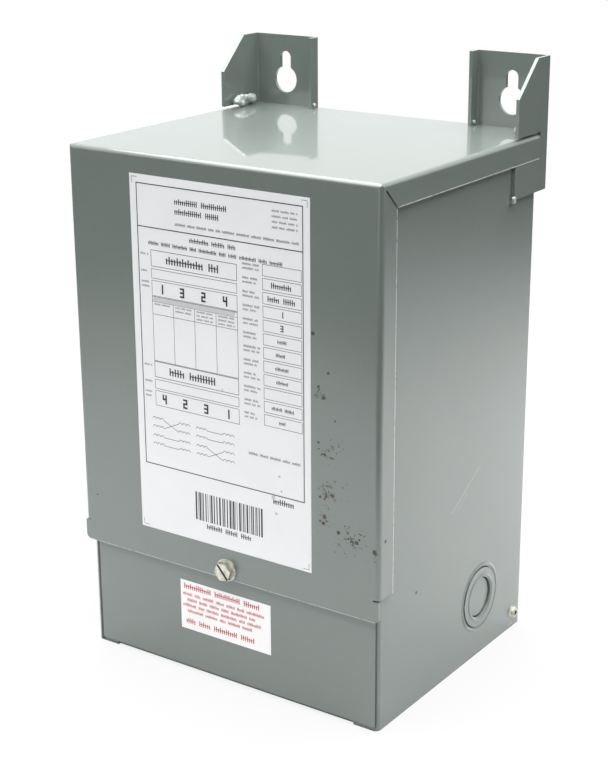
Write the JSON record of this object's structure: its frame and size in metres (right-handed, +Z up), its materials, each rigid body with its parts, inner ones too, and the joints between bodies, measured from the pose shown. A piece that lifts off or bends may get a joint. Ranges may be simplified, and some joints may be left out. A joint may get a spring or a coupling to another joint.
{
  "type": "potted distribution transformer",
  "caption": "Wall-mounted potted distribution transformer in a painted sheet steel case, with keyhole ears, a wiring compartment and side knockouts.",
  "frame": {"origin": "on the floor, below the middle of the overall box", "axes": "+X to the right as seen from the front, +Y from the front cover to the wall, +Z up"},
  "size_m": [0.1974, 0.1728, 0.3286],
  "materials": {
    "grey_enamel": "gloss",
    "weld_enamel": "gloss",
    "zinc_plate": "satin",
    "label_film": "satin",
    "cast_resin": "matte"
  },
  "bodies": {
    "root": {"front_top_cover": "grey_enamel", "case_wrap": "grey_enamel", "base_plate": "grey_enamel", "wiring_cover": "grey_enamel", "screw_strap": "grey_enamel", "potting_block": "cast_resin", "left_mounting_bracket": "grey_enamel", "right_mounting_bracket": "grey_enamel", "cover_screw": "zinc_plate", "left_base_screw": "zinc_plate", "right_base_screw": "zinc_plate", "left_knockout_ring": "grey_enamel", "left_knockout_disc": "grey_enamel", "right_knockout_ring": "grey_enamel", "right_knockout_disc": "grey_enamel", "rating_label": "label_film", "lower_sticker": "label_film", "left_ear_weld": "weld_enamel", "right_ear_weld": "weld_enamel", "left_lip_weld": "weld_enamel", "right_lip_weld": "weld_enamel", "left_tab_weld": "weld_enamel", "right_tab_weld": "weld_enamel"}
  },
  "joints": []
}
